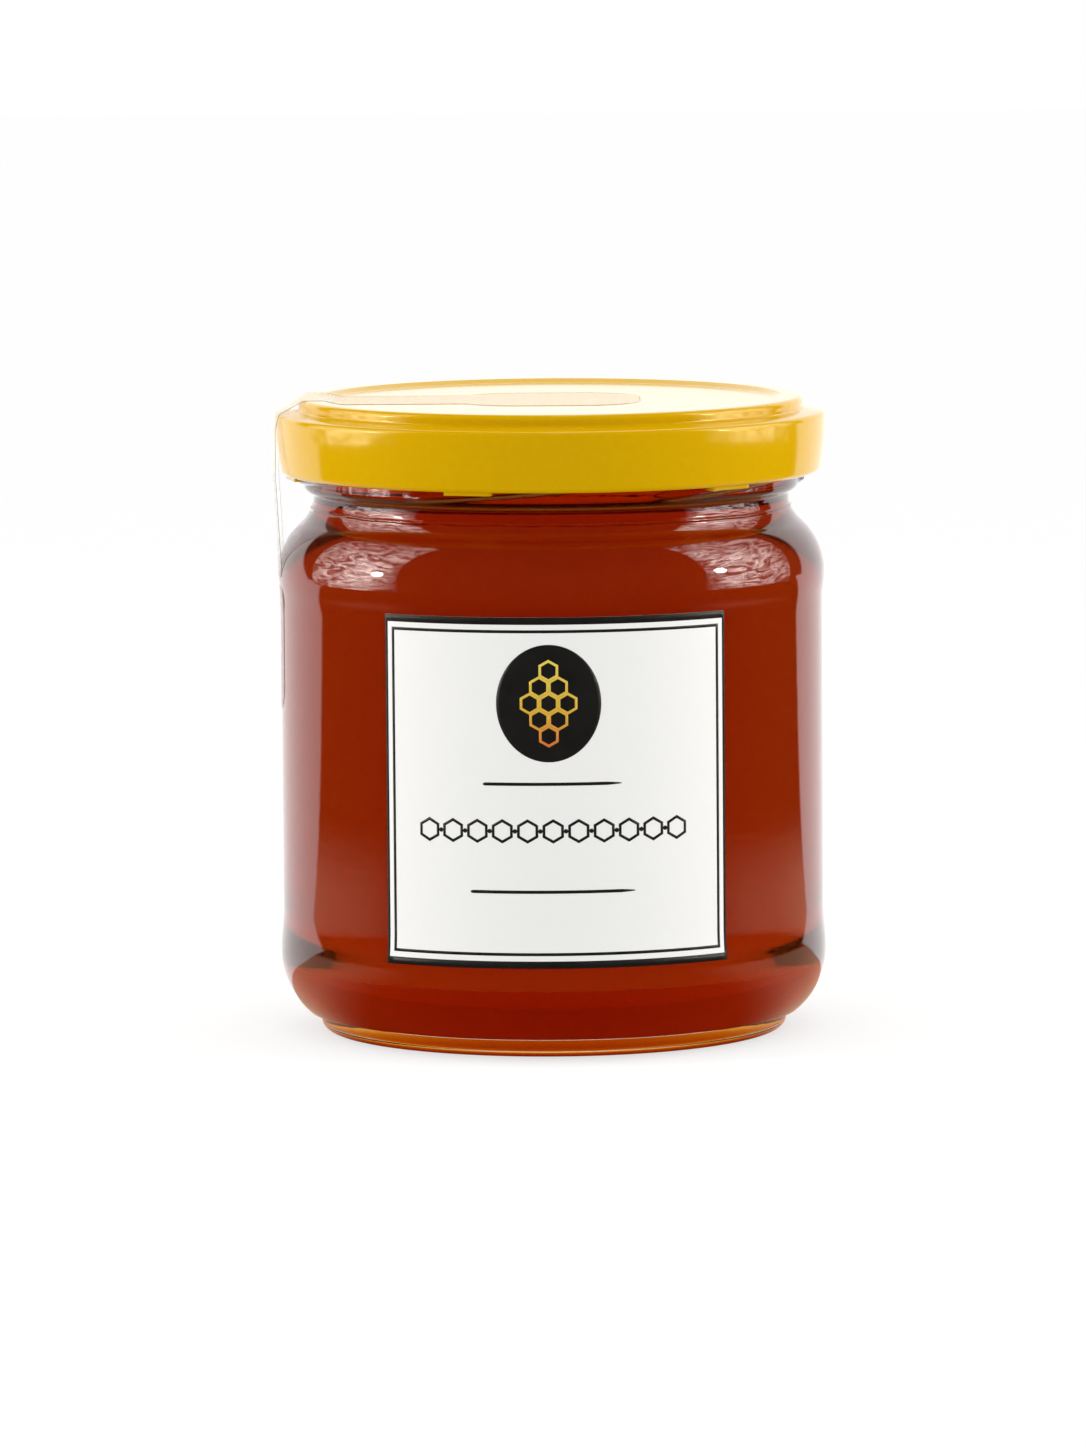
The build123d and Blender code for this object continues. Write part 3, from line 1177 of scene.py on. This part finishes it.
def make_world():
    """White for the camera and bent rays, even light for matt surfaces.

    Mirrored rays see the dark front and the backdrop, whose edges lean as they rise.
    """
    world = bpy.data.worlds.new("studio")
    bpy.context.scene.world = world
    world.use_nodes = True
    world.cycles.sampling_method = "NONE"
    tree = world.node_tree
    tree.nodes.clear()
    camera_ray, bent_ray, mirrored_ray = ray_kinds(tree)
    sky = add(tree, "ShaderNodeTexCoord").outputs["Generated"]
    turn, right, parts = bearing(tree, sky)
    up = calculate(tree, "DEGREES", calculate(tree, "ARCSINE", parts.outputs["Z"]))
    up = calculate(tree, "MAXIMUM", up, 0.0)
    left_edge = calculate(tree, "MULTIPLY_ADD", up, *backdrop_left)
    right_edge = calculate(tree, "MULTIPLY_ADD", up, *backdrop_right)
    edge = choose(tree, right, left_edge, right_edge)
    backdrop = ramp(tree, calculate(tree, "SUBTRACT", turn, edge), 0.0, backdrop_soft)
    mirrored = calculate(tree, "MULTIPLY_ADD", backdrop, behind_light, front_light)
    plain = calculate(tree, "ADD", camera_ray, bent_ray, clamp=True)
    strength = choose(tree, plain, choose(tree, mirrored_ray, room_light, mirrored), 1.0)
    light = add(tree, "ShaderNodeBackground", {"Color": (1, 1, 1, 1), "Strength": strength})
    output = add(tree, "ShaderNodeOutputWorld")
    tree.links.new(light.outputs[0], output.inputs[0])


make_world()


# %% [markdown]
# A white table would mirror in the glass as a bright floor. Here it is bright behind the jar and
# close to its sides, with a warm glow from light that came through the honey, and dark in
# front. For the camera the table is white and keeps the jar's soft shadow: part of its white is
# its own and part is light that the jar can block. Rays bent down through the foot meet an amber
# patch, as the honey's light falls there.

# %% Table
table_matt = 0.45
table_shadowless = 0.62
table_behind = 1.4  # as the glass mirrors it, behind the jar and close beside it
table_beside = 0.88
table_even = 0.85  # what matt surfaces get from it
table_edges = (110.0, 122.5)  # bearings past which it is bright, on the left and the right
table_soft = 2.5
beside_bearings = (50.0, 86.0)
beside_reach = (200.0, 330.0)  # millimetres from the middle, between which it fades
table_size = 6.0


def table_finish():
    """A white table for each kind of ray."""
    made, tree, output = material("white_table")
    camera_ray, bent_ray, mirrored_ray = ray_kinds(tree)
    turn, right, parts = bearing(tree, place(tree))
    ground = add(tree, "ShaderNodeCombineXYZ", {0: parts.outputs["X"], 1: parts.outputs["Y"]})
    away = add(
        tree, "ShaderNodeVectorMath", {0: ground.outputs[0]}, operation="LENGTH"
    ).outputs["Value"]
    past_edge = calculate(tree, "SUBTRACT", turn, choose(tree, right, *table_edges))
    behind = ramp(tree, past_edge, 0.0, table_soft)
    beside = calculate(
        tree,
        "MULTIPLY",
        ramp(tree, turn, *beside_bearings),
        calculate(tree, "SUBTRACT", 1.0, ramp(tree, away, *beside_reach)),
    )
    glow = add(
        tree,
        "ShaderNodeMix",
        {0: behind, 6: linear("FFC6A8"), 7: (1, 1, 1, 1)},
        data_type="RGBA",
    )
    under = calculate(tree, "SUBTRACT", 1.0, ramp(tree, away, foot_radius - 1.0, foot_radius + 2.0))
    far_side = calculate(tree, "MULTIPLY", behind, table_behind)
    near_side = calculate(tree, "MULTIPLY", beside, table_beside)
    mirrored = calculate(tree, "ADD", calculate(tree, "MAXIMUM", far_side, near_side), front_light)
    strength = choose(tree, mirrored_ray, table_even, mirrored)
    strength = choose(tree, bent_ray, strength, 1.0)
    beneath = add(
        tree, "ShaderNodeMix", {0: under, 6: (1, 1, 1, 1), 7: linear("DE9448")}, data_type="RGBA"
    )
    mirroring = calculate(tree, "SUBTRACT", mirrored_ray, bent_ray, clamp=True)
    colour = add(
        tree,
        "ShaderNodeMix",
        {0: mirroring, 6: beneath.outputs[2], 7: glow.outputs[2]},
        data_type="RGBA",
    )
    other = add(tree, "ShaderNodeEmission", {"Color": colour.outputs[2], "Strength": strength})
    own = add(tree, "ShaderNodeEmission", {"Color": (1, 1, 1, 1), "Strength": table_shadowless})
    matt = add(tree, "ShaderNodeBsdfDiffuse", {"Color": (table_matt, table_matt, table_matt, 1)})
    seen = add(tree, "ShaderNodeAddShader", {0: own.outputs[0], 1: matt.outputs[0]})
    both = add(
        tree, "ShaderNodeMixShader", {0: camera_ray, 1: other.outputs[0], 2: seen.outputs[0]}
    )
    tree.links.new(both.outputs[0], output.inputs["Surface"])
    made.cycles.emission_sampling = "NONE"
    return made


def stage_sheet(name, corners, finish, count=2):
    """A sheet between four corners, in metres, that isn't part of the jar."""
    corners = np.array(corners, float).reshape(2, 2, 3)
    u = np.linspace(0, 1, count)[:, None, None]
    v = np.linspace(0, 1, count)[None, :, None]
    grid = (corners[0, 0] * (1 - v) + corners[0, 1] * v) * (1 - u)
    grid = grid + (corners[1, 0] * (1 - v) + corners[1, 1] * v) * u
    mesh = bpy.data.meshes.new(name)
    mesh.from_pydata(grid.reshape(-1, 3).tolist(), [], quads(count, count, False, False).tolist())
    mesh.materials.append(finish)
    made = bpy.data.objects.new(name, mesh)
    bpy.context.scene.collection.objects.link(made)
    return made


far = table_size / 2
table_corners = [(-far, -far, 0), (far, -far, 0), (-far, far, 0), (far, far, 0)]
stage_sheet("table", table_corners, table_finish())

# %% [markdown]
# A soft box is a lamp behind a sheet of cloth. The cloth is creased, and the bulb behind it
# makes one small spot brighter than the rest. Both show in the mirror of the jar's shoulder.

# %% Soft boxes
box_distance = 0.4
box_corners = [(66, -4.5), (119, -4.5), (82, 61), (131, 35)]  # bearing and elevation, in degrees
box_front = (64.0, 84.0)  # bearings between which the cloth gets its full light
box_light = 6.5
box_fade = (0.1, 0.9)  # radians from the bulb between which the cloth dims
box_around_bulb = 1.15  # share of the light close to the bulb
crease_height = (0.4, 0.66)  # of the noise, from the darkest crease to the brightest
crease_light = (0.1, 1.7)
box_light_matt = 2.6
bulb_light = 40.0
bulb_ways = {"left": (80.5, 16.4), "right": (78.5, 19.7)}
bulb_size = 0.07  # radians, as seen from the jar
shoulder_spot = (0.026, -0.03, 0.078)  # where the shoulder mirrors them


def toward(turn, up, side):
    """The unit vector of a bearing and an elevation, on the left (-1) or the right (1)."""
    turn, up = np.radians([turn, up])
    return np.array([side * np.sin(turn) * np.cos(up), -np.cos(turn) * np.cos(up), np.sin(up)])


def soft_box_cloth(name, seen_from, bulb):
    """Creased cloth with a bulb behind it, brightest around the bulb."""
    made, tree, output = material(name)
    mirrored_ray = ray_kinds(tree)[2]
    here = place(tree, (0.03, 0.012, 0.022))
    crease = add(
        tree,
        "ShaderNodeTexNoise",
        {"Vector": here, "Scale": 1.0, "Detail": 3.0, "Roughness": 0.62, "Distortion": 1.8},
    )
    cloth = add(
        tree,
        "ShaderNodeMapRange",
        {
            "Value": crease.outputs[0],
            "From Min": crease_height[0],
            "From Max": crease_height[1],
            "To Min": crease_light[0],
            "To Max": crease_light[1],
        },
    ).outputs[0]
    from_jar = add(
        tree,
        "ShaderNodeVectorMath",
        {0: place(tree), 1: tuple(seen_from / MM)},
        operation="SUBTRACT",
    )
    way = add(tree, "ShaderNodeVectorMath", {0: from_jar.outputs[0]}, operation="NORMALIZE")
    apart = add(
        tree, "ShaderNodeVectorMath", {0: way.outputs[0], 1: tuple(bulb)}, operation="DISTANCE"
    ).outputs["Value"]
    spot = calculate(tree, "SUBTRACT", 1.0, ramp(tree, apart, bulb_size * 0.6, bulb_size))
    around = calculate(tree, "SUBTRACT", box_around_bulb, ramp(tree, apart, *box_fade))
    front_edge = ramp(tree, bearing(tree, from_jar.outputs[0])[0], *box_front)
    lit = calculate(tree, "MULTIPLY", cloth, calculate(tree, "MULTIPLY", around, box_light))
    lit = calculate(tree, "MULTIPLY", lit, front_edge)
    lit = calculate(tree, "MULTIPLY_ADD", spot, bulb_light, lit)
    strength = choose(tree, mirrored_ray, box_light_matt, lit)
    light = add(tree, "ShaderNodeEmission", {"Color": linear("FFFBF4"), "Strength": strength})
    tree.links.new(light.outputs[0], output.inputs["Surface"])
    made.cycles.emission_sampling = "NONE"
    return made


for side, name in ((-1, "left"), (1, "right")):
    seen_from = np.array(shoulder_spot) * (side, 1, 1)
    cloth = soft_box_cloth(f"soft_box_{name}", seen_from, toward(*bulb_ways[name], side))
    corners = [toward(*corner, side) * box_distance + seen_from for corner in box_corners]
    box = stage_sheet(f"soft_box_{name}", corners, cloth, 12)
    box.visible_camera = False
    box.visible_transmission = False
    box.visible_shadow = False
